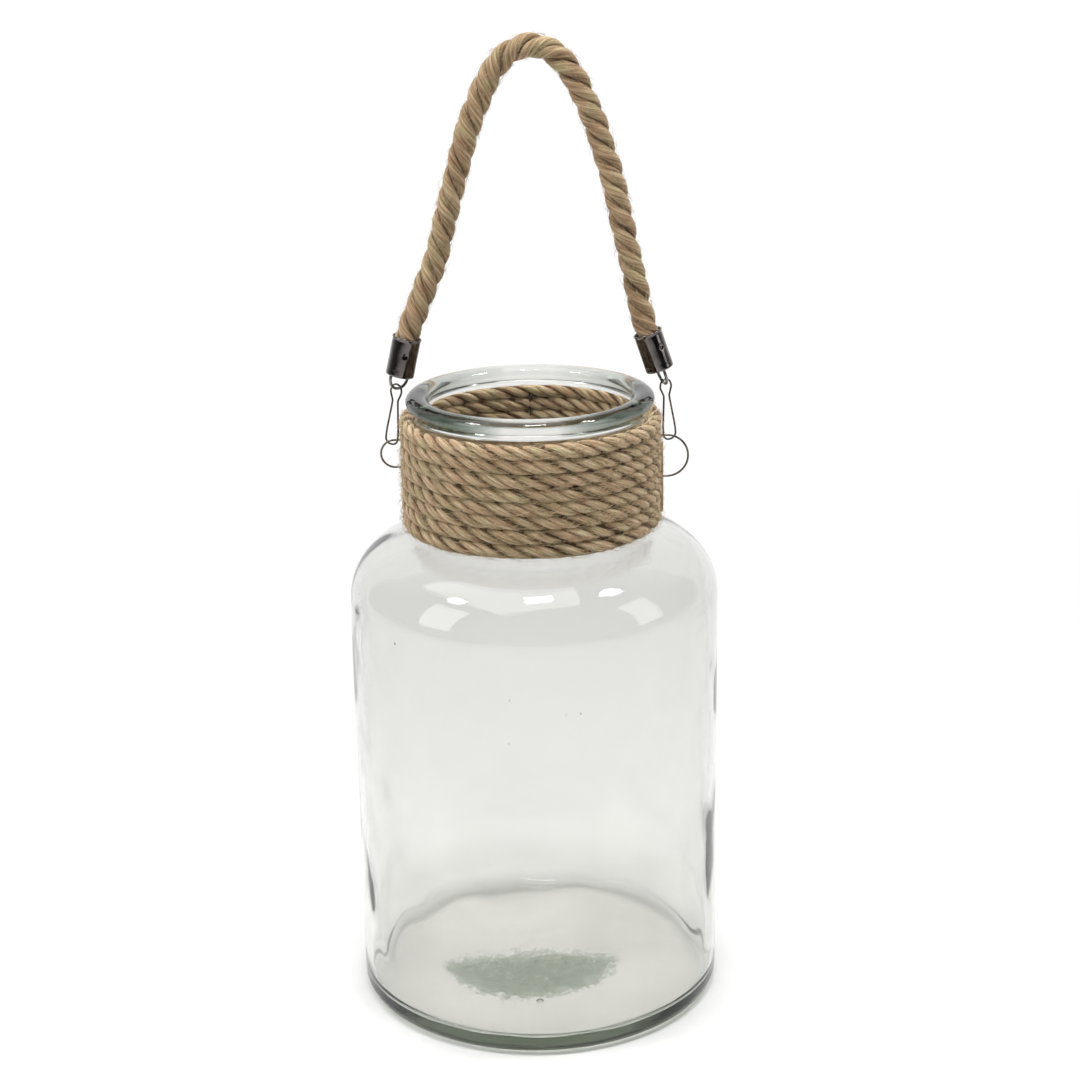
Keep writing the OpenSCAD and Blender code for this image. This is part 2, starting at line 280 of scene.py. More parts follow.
def jute_material(name, dark, middle, light, fibre_scale=1.0):
    """Jute fibres that run along each strand. The mesh's uv is metres along and round the strand,
    and a value for each vertex darkens the colour. On twisted cord it is painted shade, 0 in the crevices
    and 1 on the crests. On an opened cord end it is a random tone for each fibre."""
    material, tree, shader = new_material(name)
    place = add(tree, "ShaderNodeUVMap", uv_map="along")
    lay = add(tree, "ShaderNodeMapping", Rotation=(0, 0, math.radians(14)))
    tree.links.new(place.outputs[0], lay.inputs["Vector"])
    stretch = add(tree, "ShaderNodeMapping", Scale=(160 * fibre_scale, 3600 * fibre_scale, 1))
    tree.links.new(lay.outputs[0], stretch.inputs["Vector"])
    fibres = add(tree, "ShaderNodeTexNoise", Scale=1.0, Detail=4.0, Roughness=0.65, Distortion=0.35)
    tree.links.new(stretch.outputs[0], fibres.inputs["Vector"])
    broad = add(tree, "ShaderNodeMapping", Scale=(60 * fibre_scale, 900 * fibre_scale, 1))
    tree.links.new(lay.outputs[0], broad.inputs["Vector"])
    yarns = add(tree, "ShaderNodeTexNoise", Scale=1.0, Detail=2.0, Roughness=0.5)
    tree.links.new(broad.outputs[0], yarns.inputs["Vector"])
    patches = object_noise(tree, Scale=130.0, Detail=3.0, Roughness=0.6)
    both = maths(tree, "MULTIPLY_ADD", yarns.outputs["Fac"], 0.45,
                 maths(tree, "MULTIPLY", fibres.outputs["Fac"], 0.55))
    colour = ramp(tree, both, [(0.34, dark), (0.48, middle), (0.62, light)])
    warm = ramp(tree, patches, [(0.36, linear(232, 196, 172)), (0.50, linear(246, 232, 212)),
                                (0.64, linear(226, 234, 198))])
    patched = mix_colour(tree, 0.5, colour.outputs[0], warm.outputs[0], "MULTIPLY")
    # Painted shade: darkens the crevices between strands and yarns and the heart between the strands. On
    # opened cord ends it is a random tone for each fibre.
    shade_and_tone = add(tree, "ShaderNodeAttribute", attribute_name="shade_and_tone")
    shade = ramp(tree, shade_and_tone.outputs["Fac"], [(0.0, (0.12, 0.09, 0.07)), (0.45, (0.54, 0.47, 0.40)),
                                             (0.9, (1, 1, 1))])
    final = mix_colour(tree, 1.0, patched, shade.outputs[0], "MULTIPLY")
    tree.links.new(final, shader.inputs["Base Color"])
    shader.inputs["Roughness"].default_value = 0.82
    shader.inputs["Specular IOR Level"].default_value = 0.25
    shader.inputs["Sheen Weight"].default_value = 0.25
    shader.inputs["Sheen Roughness"].default_value = 0.5
    bump(tree, shader, both, 0.9, 0.00045)
    return material


def hair_material(name, colour, pale):
    """Single loose fibres, each a little lighter or darker than the next."""
    material, tree, shader = new_material(name)
    spots = object_noise(tree, Scale=900.0, Detail=1.0)
    shades = ramp(tree, spots, [(0.35, colour), (0.65, pale)])
    tree.links.new(shades.outputs[0], shader.inputs["Base Color"])
    shader.inputs["Roughness"].default_value = 0.55
    shader.inputs["Specular IOR Level"].default_value = 0.35
    return material


def wire_material(name, colour, dull, roughness):
    """Drawn steel wire, with fine scratches and dull patches."""
    material, tree, shader = new_material(name)
    stain = object_noise(tree, Scale=260.0, Detail=5.0, Roughness=0.7)
    scratch = object_noise(tree, Scale=2600.0, Detail=2.0, Roughness=0.6)
    colours = ramp(tree, stain, [(0.38, dull), (0.60, colour)])
    tree.links.new(colours.outputs[0], shader.inputs["Base Color"])
    shader.inputs["Metallic"].default_value = 1.0
    rough = ramp(tree, stain, [(0.3, (roughness + 0.2,) * 3), (0.7, (roughness,) * 3)])
    tree.links.new(rough.outputs[0], shader.inputs["Roughness"])
    bump(tree, shader, scratch, 0.25, 0.00005)
    return material


SCAR_MIDDLE = (-4.7 * MM, 8 * MM)
SCAR_REACH = (46 * MM, 50 * MM)
SCAR_TOP = 2.0 * MM
# The painted shade on the rim's flanks starts at this height.
RIM_PAINTED_GREEN_LOW = 291.5 * MM
# The painted shade on the front of the foot: its top, and the radius outside which it lies.
FOOT_PAINTED_GREEN_TOP = 3.4 * MM
FOOT_PAINTED_GREEN_R = 84.6 * MM
# Shadows of the wall are darkest at the floor and end at this height.
FOOT_SHADE_TOP = 34 * MM
FOOT_WALL_R = 80 * MM
FOOT_WALL_SHADE = (0.12, 0.12, 0.12)


def scar_mask(tree, spot, ragged):
    """1 on the half-moon scar under the base and 0 off it, with a ragged edge."""
    across = maths(tree, "DIVIDE", maths(tree, "SUBTRACT", spot.outputs["X"], SCAR_MIDDLE[0]), SCAR_REACH[0])
    deep = maths(tree, "DIVIDE", maths(tree, "SUBTRACT", spot.outputs["Y"], SCAR_MIDDLE[1]), SCAR_REACH[1])
    squares = maths(tree, "ADD", maths(tree, "POWER", across, 2.0), maths(tree, "POWER", deep, 2.0))
    wobble = maths(tree, "MULTIPLY", maths(tree, "SUBTRACT", ragged, 0.5), 1.3)
    disc = ramp(tree, maths(tree, "ADD", squares, wobble), [(0.66, (1, 1, 1)), (0.98, (0, 0, 0))])
    edge = maths(tree, "ADD", maths(tree, "MULTIPLY", deep, -1.0), wobble)
    half = ramp(tree, edge, [(0.02, (0, 0, 0)), (0.22, (1, 1, 1))])
    low = maths(tree, "LESS_THAN", spot.outputs["Z"], SCAR_TOP)
    return maths(tree, "MULTIPLY", maths(tree, "MULTIPLY", disc.outputs[0], half.outputs[0]), low)


def distance_from_axis(tree, spot):
    squares = maths(tree, "ADD", maths(tree, "POWER", spot.outputs["X"], 2.0),
                    maths(tree, "POWER", spot.outputs["Y"], 2.0))
    return maths(tree, "POWER", squares, 0.5)


def rim_painted_shade_mask(tree, spot, slow):
    """Painted shade: 1 on both flanks of the rolled rim, where dark green glass is painted in, most at
    the front, and 0 in its middle.
    """
    flank = ramp(tree, maths(tree, "ABSOLUTE", spot.outputs["X"]), [(0.012, (0, 0, 0)), (0.034, (1, 1, 1))])
    front = ramp(tree, maths(tree, "MULTIPLY_ADD", spot.outputs["Y"], -8.0, 0.5),
                 [(0.25, (0.25, 0.25, 0.25)), (0.60, (1, 1, 1))])
    high = maths(tree, "GREATER_THAN", spot.outputs["Z"], RIM_PAINTED_GREEN_LOW)
    patchy = ramp(tree, slow, [(0.35, (0.55, 0.55, 0.55)), (0.55, (1, 1, 1))])
    return maths(tree, "MULTIPLY", maths(tree, "MULTIPLY", flank.outputs[0], front.outputs[0]),
                 maths(tree, "MULTIPLY", high, patchy.outputs[0]))


def foot_painted_shade_mask(tree, spot, slow, radius):
    """Painted shade: 1 on the outside of the foot at the front, where dark green glass is painted in,
    and 0 at the back.
    """
    front = maths(tree, "MULTIPLY_ADD", spot.outputs["Y"], -6.0, 0.35)
    top = maths(tree, "MULTIPLY", maths(tree, "ADD", slow, 0.45), FOOT_PAINTED_GREEN_TOP)
    height = maths(tree, "DIVIDE", spot.outputs["Z"], top)
    band = ramp(tree, height, [(0.55, (1, 1, 1)), (1.0, (0, 0, 0))])
    outside = maths(tree, "GREATER_THAN", radius, FOOT_PAINTED_GREEN_R)
    return maths(tree, "MULTIPLY", maths(tree, "MULTIPLY", band.outputs[0], outside),
                 maths(tree, "MAXIMUM", front, 0.0), clamp=True)


def make_glass(node, colour, roughness):
    """Sets a shader node to glass and returns it."""
    node.inputs["Base Color"].default_value = (*colour, 1)
    node.inputs["Roughness"].default_value = roughness
    node.inputs["IOR"].default_value = 1.5
    node.inputs["Transmission Weight"].default_value = 1.0
    return node


def mix_shaders(tree, factor, a, b):
    node = tree.nodes.new("ShaderNodeMixShader")
    tree.links.new(factor, node.inputs[0])
    tree.links.new(a, node.inputs[1])
    tree.links.new(b, node.inputs[2])
    return node.outputs[0]


def glass_material():
    """Hand-blown glass: clear, faintly green where it is thick, with a soft wave in its surface and a
    frosted scar under the base. The dark green foot at the front and the dark green flanks of the rim
    are painted shade, placed by position. Shadow rays pass straight through it, dimmed near the outside
    of the foot."""
    material, tree, shader = new_material("hand_blown_glass")
    make_glass(shader, (0.905, 0.900, 0.892), 0.0)
    where = add(tree, "ShaderNodeTexCoord")
    squash = add(tree, "ShaderNodeMapping", Scale=(1, 1, 0.55))
    tree.links.new(where.outputs["Object"], squash.inputs["Vector"])
    waves = add(tree, "ShaderNodeTexNoise", Scale=26.0, Detail=2.0, Roughness=0.4)
    tree.links.new(squash.outputs[0], waves.inputs["Vector"])
    bump(tree, shader, waves.outputs["Fac"], 0.25, 0.002)
    spot = tree.nodes.new("ShaderNodeSeparateXYZ")
    tree.links.new(where.outputs["Object"], spot.inputs[0])
    ragged = object_noise(tree, Scale=170.0, Detail=9.0, Roughness=0.85)
    slow = object_noise(tree, Scale=22.0, Detail=2.0)
    scar = tree.nodes.new("ShaderNodeBsdfPrincipled")
    frost = ramp(tree, ragged, [(0.34, linear(150, 166, 148)), (0.56, linear(188, 200, 182)),
                                (0.66, linear(246, 248, 242))])
    tree.links.new(frost.outputs[0], scar.inputs["Base Color"])
    scar.inputs["Roughness"].default_value = 0.5
    scar.inputs["Transmission Weight"].default_value = 0.25
    bump(tree, scar, ragged, 0.8, 0.0008)
    # Painted shade: dark green glass for the front of the foot.
    foot = make_glass(tree.nodes.new("ShaderNodeBsdfPrincipled"), linear(128, 148, 118), 0.02)
    # Painted shade: dark green glass for the flanks of the thick rim.
    thick = make_glass(tree.nodes.new("ShaderNodeBsdfPrincipled"), linear(84, 98, 86), 0.0)
    radius = distance_from_axis(tree, spot)
    scarred = mix_shaders(tree, scar_mask(tree, spot, ragged), shader.outputs[0], scar.outputs[0])
    rim_shaded = mix_shaders(tree, rim_painted_shade_mask(tree, spot, slow), scarred, thick.outputs[0])
    foot_shaded = mix_shaders(tree, foot_painted_shade_mask(tree, spot, slow, radius), rim_shaded, foot.outputs[0])
    shadow_light = tree.nodes.new("ShaderNodeBsdfTransparent")
    near_floor = ramp(tree, maths(tree, "DIVIDE", spot.outputs["Z"], FOOT_SHADE_TOP),
                      [(0.0, (0.58, 0.57, 0.575)), (1.0, (0.95, 0.94, 0.945))])
    wall_shade = maths(tree, "MULTIPLY", maths(tree, "GREATER_THAN", radius, FOOT_WALL_R),
                       maths(tree, "SUBTRACT", 1.0, maths(tree, "DIVIDE", spot.outputs["Z"], FOOT_SHADE_TOP),
                             clamp=True))
    shade = mix_colour(tree, wall_shade, near_floor.outputs[0], FOOT_WALL_SHADE)
    tree.links.new(shade, shadow_light.inputs["Color"])
    path = tree.nodes.new("ShaderNodeLightPath")
    seen = mix_shaders(tree, path.outputs["Is Shadow Ray"], foot_shaded, shadow_light.outputs[0])
    tree.links.new(seen, tree.nodes["Material Output"].inputs["Surface"])
    volume = tree.nodes.new("ShaderNodeVolumeAbsorption")
    volume.inputs["Color"].default_value = (0.60, 0.63, 0.57, 1)
    volume.inputs["Density"].default_value = 38.0
    tree.links.new(volume.outputs[0], tree.nodes["Material Output"].inputs["Volume"])
    return material


def chrome_material():
    """Bright plating with fine polishing marks and a few dull smudges."""
    material, tree, shader = new_material("rope_cap_chrome")
    smudge = object_noise(tree, Scale=150.0, Detail=4.0, Roughness=0.6)
    polish = object_noise(tree, Scale=1800.0, Detail=2.0)
    colours = ramp(tree, smudge, [(0.3, (0.12, 0.105, 0.10)), (0.65, (0.20, 0.18, 0.17))])
    tree.links.new(colours.outputs[0], shader.inputs["Base Color"])
    shader.inputs["Metallic"].default_value = 1.0
    rough = ramp(tree, smudge, [(0.35, (0.16,) * 3), (0.65, (0.07,) * 3)])
    tree.links.new(rough.outputs[0], shader.inputs["Roughness"])
    bump(tree, shader, polish, 0.12, 0.00004)
    return material


def glue_material():
    """Set amber glue, with specks caught in it."""
    material, tree, shader = new_material("amber_glue")
    specks = object_noise(tree, Scale=700.0, Detail=4.0, Roughness=0.7)
    colours = ramp(tree, specks, [(0.35, linear(150, 92, 34)), (0.6, linear(214, 164, 92))])
    tree.links.new(colours.outputs[0], shader.inputs["Base Color"])
    shader.inputs["Roughness"].default_value = 0.3
    shader.inputs["Subsurface Weight"].default_value = 0.4
    shader.inputs["Subsurface Radius"].default_value = (0.002, 0.001, 0.0004)
    bump(tree, shader, specks, 0.4, 0.0002)
    return material


def floor_material():
    """A pale matt studio floor with a barely seen grain, which glows white far behind the lantern."""
    material, tree, shader = new_material("studio_floor")
    where = add(tree, "ShaderNodeTexCoord")
    spot = tree.nodes.new("ShaderNodeSeparateXYZ")
    tree.links.new(where.outputs["Object"], spot.inputs[0])
    far = ramp(tree, spot.outputs["Y"], [(0.12, (0, 0, 0)), (0.85, (1, 1, 1))])
    glow = tree.nodes.new("ShaderNodeEmission")
    glow.inputs["Strength"].default_value = 1.03
    lit = mix_shaders(tree, far.outputs[0], shader.outputs[0], glow.outputs[0])
    tree.links.new(lit, tree.nodes["Material Output"].inputs["Surface"])
    grain = object_noise(tree, Scale=45.0, Detail=6.0)
    colours = ramp(tree, grain, [(0.3, (0.86, 0.86, 0.855)), (0.7, (0.89, 0.89, 0.885))])
    tree.links.new(colours.outputs[0], shader.inputs["Base Color"])
    shader.inputs["Roughness"].default_value = 0.75
    shader.inputs["Specular IOR Level"].default_value = 0.1
    return material


jute = jute_material("jute_cord", JUTE_DARK, JUTE_MIDDLE, JUTE_LIGHT)
rope_jute = jute_material("jute_rope", linear(88, 70, 52), linear(172, 147, 115), linear(226, 208, 176), 0.9)
tail_jute = jute_material("jute_opened", linear(160, 134, 100), linear(212, 190, 152),
                          linear(240, 226, 194), 1.2)
cord_hair = hair_material("jute_hair", linear(176, 150, 110), linear(226, 208, 172))
rope_hair = hair_material("rope_hair", linear(160, 138, 104), linear(214, 198, 164))
link_steel = wire_material("link_steel", (0.17, 0.15, 0.13), (0.06, 0.05, 0.04), 0.20)
ear_steel = wire_material("ear_steel", (0.26, 0.23, 0.20), (0.08, 0.07, 0.06), 0.22)
eye_steel = wire_material("eye_steel", (0.34, 0.33, 0.32), (0.12, 0.11, 0.10), 0.16)
band_steel = wire_material("band_steel", (0.16, 0.15, 0.14), (0.05, 0.045, 0.04), 0.4)
glass = glass_material()
chrome = chrome_material()
glue = glue_material()

# ---------------------------------------------------------------- twisted cord

# A strand's radius and its widening, as shares of the cord's radius and of its own.
STRAND_SIZE = 0.49
STRAND_WIDEN = 1.10
YARNS = 7
HEART_SIDES = 8
# The heart's dark colour is painted shade where the strands meet.
HEART_SHADE = 0.12
HAIR_RINGS = 6
HAIR_SIDES = 3


def twisted_cord(points, side, radius, lay, hand, sides, seed, flat=(1, 1), core=(0.42, 1.02)):
    """Three strands twisted round a route. Each strand is a bundle of yarns, so its surface is ridged.
    lay is the length of one full twist, and hand is 1 or -1. flat presses the cord along its side
    direction and widens it the other way. core is the half size of the heart that closes the gaps
    between strands; its dark colour is painted shade. Returns vertices, faces, uv and a value for each
    vertex that is painted shade, low in the crevices and 1 on the crests."""
    _, across, up = frames(points, side)
    count = len(points)
    run = np.concatenate([[0], np.cumsum(np.linalg.norm(np.diff(points, axis=0), axis=1))])
    step = run[-1] / (count - 1)
    strand_r = STRAND_SIZE * radius
    offset = radius - strand_r
    verts, faces, uv, shade_and_tone = [], [], [], []
    for strand in range(3):
        tag = seed * 10 + strand
        slip = wander(count, step / (4.5 * lay), 0.35, tag)
        phase = TAU * strand / 3 + hand * TAU * run / lay + slip
        out = np.cos(phase)[:, None] * across + np.sin(phase)[:, None] * up
        centre = points + offset * out * (1 + wander(count, step / (0.9 * lay), 0.05, tag + 3))[:, None]
        _, radial, wide = frames(centre, out)
        angle = math.pi + np.arange(sides) * TAU / sides
        twist = -hand * TAU * run / (1.15 * lay)
        ridge = np.abs(np.sin(0.5 * YARNS * (angle[None] + twist[:, None])))
        fat = 1 + wander(count, step / (0.6 * lay), 0.06, tag + 5)
        lump = 0.90 + 0.10 * ridge**0.7
        r = strand_r * lump * fat[:, None]
        ring = (centre[:, None]
                + (r * np.cos(angle))[..., None] * radial[:, None]
                + (STRAND_WIDEN * r * np.sin(angle))[..., None] * wide[:, None])
        away = ring - points[:, None]
        pressed = (away * across[:, None]).sum(-1, keepdims=True) * (flat[0] - 1) * across[:, None]
        widened = (away * up[:, None]).sum(-1, keepdims=True) * (flat[1] - 1) * up[:, None]
        ring = ring + pressed + widened
        first = sum(len(v) for v in verts)
        verts.append(ring.reshape(-1, 3))
        faces += grid_faces(count, sides, first) + end_caps(count, sides, first)
        around = np.arange(sides) / sides * TAU * strand_r
        place = np.broadcast_arrays(run[:, None] + 0.37 * tag, around[None])
        uv.append(np.stack(place, axis=-1).reshape(-1, 2))
        # Painted shade: each strand darkens where it turns in towards the cord's middle and in the grooves
        # between its yarns.
        high = np.clip(0.5 + 0.62 * np.cos(angle), 0, 1)
        shade_and_tone.append(np.broadcast_to(high * (0.75 + 0.25 * ridge), (count, sides)).reshape(-1))
    # The heart closes the gaps between strands; its dark colour is painted shade.
    heart = tube_points(points, core[0] * across, core[1] * up, radius, HEART_SIDES)
    first = sum(len(v) for v in verts)
    faces += grid_faces(count, HEART_SIDES, first) + end_caps(count, HEART_SIDES, first)
    verts.append(heart)
    uv.append(np.zeros((len(heart), 2)))
    shade_and_tone.append(np.full(len(heart), HEART_SHADE))
    return np.vstack(verts), faces, np.vstack(uv), np.concatenate(shade_and_tone)


def loose_fibres(name, points, side, radius, amount, length, reach, material, seed,
                 thickness=0.075 * MM, keep=None):
    """Fine fibres that stand off a cord: thin tapering tubes that leave it at a slant and curl.
    reach is how far out one may stand. keep says which root directions are wanted."""
    rng = np.random.default_rng(seed)
    ahead, across, up = frames(points, side)
    at = rng.integers(2, len(points) - 2, amount)
    angle = rng.uniform(0, TAU, amount)
    out = np.cos(angle)[:, None] * across[at] + np.sin(angle)[:, None] * up[at]
    if keep is not None:
        good = keep(points[at], out)
        at, out = at[good], out[good]
        amount = len(at)
    along = ahead[at] * rng.choice([-1, 1], amount)[:, None]
    root = points[at] + out * radius * 0.95
    span = length * rng.uniform(0.35, 1.0, amount) ** 1.4
    lift = rng.uniform(0.02, 0.6, amount) ** 1.6
    swing = unit(np.cross(along, out)) * rng.normal(0, 0.35, amount)[:, None]
    go = unit(along * (1 - lift)[:, None] + out * lift[:, None] + swing)
    curl = unit(rng.normal(0, 1, (amount, 3))) * (span * rng.uniform(0.05, 0.35, amount))[:, None]
    t = np.linspace(0, 1, HAIR_RINGS)
    line = (root[:, None] + go[:, None] * (span[:, None] * t)[..., None]
            + curl[:, None] * (t**2)[None, :, None])
    away = line - points[at][:, None]
    flat = away - (away * ahead[at][:, None]).sum(-1, keepdims=True) * ahead[at][:, None]
    far = np.linalg.norm(flat, axis=-1, keepdims=True)
    line -= flat * np.clip(1 - reach / np.maximum(far, 1e-6), 0, 1)
    thin = thickness * rng.uniform(0.7, 1.3, amount)[:, None] * (1 - 0.6 * t)[None]
    one = unit(np.cross(go, curl + 1e-9))
    two = np.cross(go, one)
    corner = np.arange(HAIR_SIDES) * TAU / HAIR_SIDES
    ring = (line[:, :, None]
            + thin[:, :, None, None] * (np.cos(corner)[None, None, :, None] * one[:, None, None]
                                        + np.sin(corner)[None, None, :, None] * two[:, None, None]))
    verts = ring.reshape(-1, 3)
    one_hair = np.array(grid_faces(HAIR_RINGS, HAIR_SIDES))
    firsts = np.arange(amount) * HAIR_RINGS * HAIR_SIDES
    faces = (one_hair[None] + firsts[:, None, None]).reshape(-1, 4).tolist()
    for first in firsts.tolist():
        faces += end_caps(HAIR_RINGS, HAIR_SIDES, first)
    return mesh_piece(name, verts, faces, material)


# ---------------------------------------------------------------- bail rope

ROPE_D = 11 * MM
ROPE_LAY = 30 * MM
# How far the strands' crests swell past the cord's stated size.
ROPE_SWELL = 1.04
ROPE_HAIRS = 1900
# The rope's route in X and Z, in millimetres, from inside the left cap to inside the right one.
ROPE_ROUTE = [
    [-59.6, 312.2], [-58, 319.5], [-56.3, 326.8], [-54.2, 333.2], [-51, 341],
    [-47.2, 350], [-43.2, 360], [-39.7, 371], [-36.8, 382], [-33.9, 393],
    [-31, 404], [-28, 415], [-24.4, 426], [-20, 436.5], [-14.8, 446.5],
    [-9, 453.4], [-3, 457.3], [4, 458.5], [10.5, 457], [16.5, 452.5],
    [21.8, 445.5], [27, 435.5], [31.3, 424.5], [35, 413.5], [38.3, 402.5],
    [40.9, 391.5], [43.2, 380.5], [45.5, 369.5], [47.8, 358.5], [50.2, 347.5],
    [52.3, 337], [54.9, 327.1], [57.4, 319.6], [59.7, 312.7],
]


def build_bail_rope():
    route = smooth_route([(x * MM, 0, z * MM) for x, z in ROPE_ROUTE], 0.6 * MM)
    side = np.array([0, 1.0, 0])
    verts, faces, uv, shade_and_tone = twisted_cord(route, side, ROPE_SWELL * ROPE_D / 2, ROPE_LAY, -1, 26,
                                          seed=1, core=(0.4, 0.4))
    rope = mesh_piece("bail_rope", verts, faces, rope_jute, uv, shade_and_tone)
    face_outwards(rope)
    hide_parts("handle_rope")
    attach(rope, "bail")
    free = route[30:-30]
    hairs = loose_fibres("bail_rope_fibres", free, side, ROPE_D / 2, ROPE_HAIRS, length=7 * MM,
                         reach=6.9 * MM, material=rope_hair, seed=5)
    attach(hairs, "bail")


build_bail_rope()

# ---------------------------------------------------------------- neck cord

CORD_D = 6.3 * MM
CORD_LAY = 27 * MM
CORD_SWELL = 1.09
CORD_HAIRS = 17000
CORD_MIDDLE_R = 58.25 * MM
CORD_STAND_OFF = 0.1 * MM
FIRST_TURN_Z = 240.2 * MM
TURN_PITCH = 6.55 * MM
TURNS = 8
# Angles round the neck, in degrees from the right: the step up, half its width, and the start.
STEP_ANGLE = 155
STEP_HALF = 14
CORD_START_ANGLE = 15
WOUND_FROM = STEP_ANGLE + 180 - CORD_START_ANGLE
WOUND_TO = 360 * TURNS + 175
TAIL_ANGLE = 7
STUB_ANGLE = 21


def cord_height(wound):
    """Height of the cord's middle after winding through an angle: it steps up behind the left ear."""
    t = np.clip(0.5 + (wound % 360 - 180) / (2 * STEP_HALF), 0, 1)
    level = np.floor(wound / 360) + t * t * (3 - 2 * t) - 1
    return FIRST_TURN_Z + TURN_PITCH * np.minimum(TURNS - 1, level)


def round_neck(angle, radius, height):
    angle = np.radians(angle)
    return np.stack([radius * np.cos(angle), radius * np.sin(angle), height], axis=-1)


def build_neck_cord():
    wound = np.arange(WOUND_FROM, WOUND_TO, 0.85)
    count = len(wound)
    radius = CORD_MIDDLE_R + CORD_STAND_OFF + wander(count, 0.03, 0.12 * MM, 21)
    height = cord_height(wound) + wander(count, 0.021, 0.32 * MM, 22)
    route = round_neck(STEP_ANGLE + 180 - wound, radius, height)
    side = route * np.array([1, 1, 0])
    verts, faces, uv, shade_and_tone = twisted_cord(route, side, CORD_SWELL * CORD_D / 2, CORD_LAY, 1, 16,
                                          seed=2, flat=(0.92, 1.08))
    cord = mesh_piece("neck_binding", verts, faces, jute, uv, shade_and_tone)
    face_outwards(cord)
    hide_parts("neck_cord")
    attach(cord, "jar")

    def outside(roots, out):
        return (out * unit(roots * np.array([1, 1, 0]))).sum(1) > -0.15

    hairs = loose_fibres("neck_fibres", route, side, CORD_D / 2, CORD_HAIRS, length=10 * MM,
                         reach=4.6 * MM, material=cord_hair, seed=8, thickness=0.10 * MM, keep=outside)
    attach(hairs, "jar")


def fibre_bundle(name, centre, across, low, high, width, thick, count, seed, spread=0.0):
    """A cord end opened into its fibres: many fine strands laid side by side, up and down.
    centre and across are the bundle's middle and its wide direction, level with the floor."""
    rng = np.random.default_rng(seed)
    through = np.cross(across, [0, 0, 1])
    rings, sides = 14, 6
    verts, faces, uv, shade_and_tone = [], [], [], []
    for i in range(count):
        place = rng.uniform(-0.5, 0.5)
        depth = rng.uniform(-0.5, 0.5) * (1 - (2 * place) ** 2) ** 0.5
        start = low + rng.uniform(0, 0.10) * (high - low)
        stop = high - rng.uniform(0, 0.10) * (high - low)
        z = np.linspace(start, stop, rings)
        t = (z - low) / (high - low)
        lean = rng.normal(0, 0.10) * width
        sway = np.array([noise.noise(Vector((i * 3.1, k * 0.55, seed))) for k in range(rings)])
        sway = sway * 0.28 * width
        fan = 1 + spread * t
        line = (centre[None] + across[None] * ((place * width * fan + sway + lean * t)[:, None])
                + through[None] * (depth * thick))
        line[:, 2] = z
        fibre_r = rng.uniform(0.11, 0.24) * MM
        _, one, two = frames(line, across)
        first = sum(len(v) for v in verts)
        verts.append(tube_points(line, one, two, fibre_r, sides))
        faces += grid_faces(rings, sides, first) + end_caps(rings, sides, first)
        around = np.arange(sides) / sides * TAU * fibre_r + i * 0.01
        uv.append(np.stack(np.broadcast_arrays(z[:, None], around[None]), axis=-1).reshape(-1, 2))
        shade_and_tone.append(np.full(rings * sides, 0.55 + 0.45 * rng.random()))
    piece = mesh_piece(name, np.vstack(verts), faces, tail_jute, np.vstack(uv), np.concatenate(shade_and_tone))
    return face_outwards(piece)


def build_cord_ends():
    """The cord's lower end turned up over the turns, and its upper end cut short behind the rim."""
    tail_low, tail_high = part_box("cord_tail")
    tail = Vector((math.cos(math.radians(TAIL_ANGLE)), math.sin(math.radians(TAIL_ANGLE)), 0))
    middle = np.array((tail_low + tail_high) / 2)
    strip = fibre_bundle("cord_end_strip", middle, np.array([-tail.y, tail.x, 0]),
                         tail_low.z, tail_high.z, 3.6 * MM, 1.3 * MM, 46, seed=4)
    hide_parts("cord_tail")
    stub_low, stub_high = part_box("cord_stub")
    stub_turn = math.radians(STUB_ANGLE)
    stub = fibre_bundle("cord_end_stub", np.array((stub_low + stub_high) / 2),
                        np.array([-math.sin(stub_turn), math.cos(stub_turn), 0]),
                        stub_low.z, stub_high.z, 3.0 * MM, 2.6 * MM, 60, seed=6, spread=0.15)
    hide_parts("cord_stub")
    for piece in (strip, stub):
        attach(piece, "jar")


def build_glue(node, name, seed):
    """A set drop of glue: a lumpy ball."""
    low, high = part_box(node)
    centre = (low + high) / 2
    radius = (high.z - low.z) / 2
    round_verts, faces = ball(4)
    verts = []
    for v in round_verts:
        lump = noise.fractal(v * 1.6 + Vector((seed, 0, 0)), 1.0, 2.0, 3)
        verts.append(centre + v * radius * (0.88 + 0.12 * lump))
    piece = mesh_piece(name, verts, faces, glue)
    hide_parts(node)
    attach(piece, "jar")


build_neck_cord()
build_cord_ends()
build_glue("glue_dab_lower", "glue_drop_lower", 3)
build_glue("glue_dab_upper", "glue_drop_upper", 9)

# ---------------------------------------------------------------- glass jar

JAR_H = 300
BODY_R = 88
WALL = 4.2
NECK_R = 55
NECK_FILLET = 6
SHOULDER_Z = 201
SHOULDER_R = 30
SHOULDER_LEAN = 72
BASE_T = 7
RIM_WIDE = 5.4
RIM_HIGH = 3.6
RIM_SET_IN = 2
FOOT_R = 7
HOLLOW_R = 46
HOLLOW_DEPTH = 1.2
JAR_SIDES = 200


def arc(centre, radius, start, stop, steps):
    """Points on an arc, in degrees."""
    angle = np.radians(np.linspace(start, stop, steps + 1))
    return [(centre[0] + radius * math.cos(a), centre[1] + radius * math.sin(a)) for a in angle]


def line(start, stop, steps):
    """Points from start up to, but not at, stop."""
    return [tuple(np.array(start) + (np.array(stop) - np.array(start)) * i / steps) for i in range(steps)]


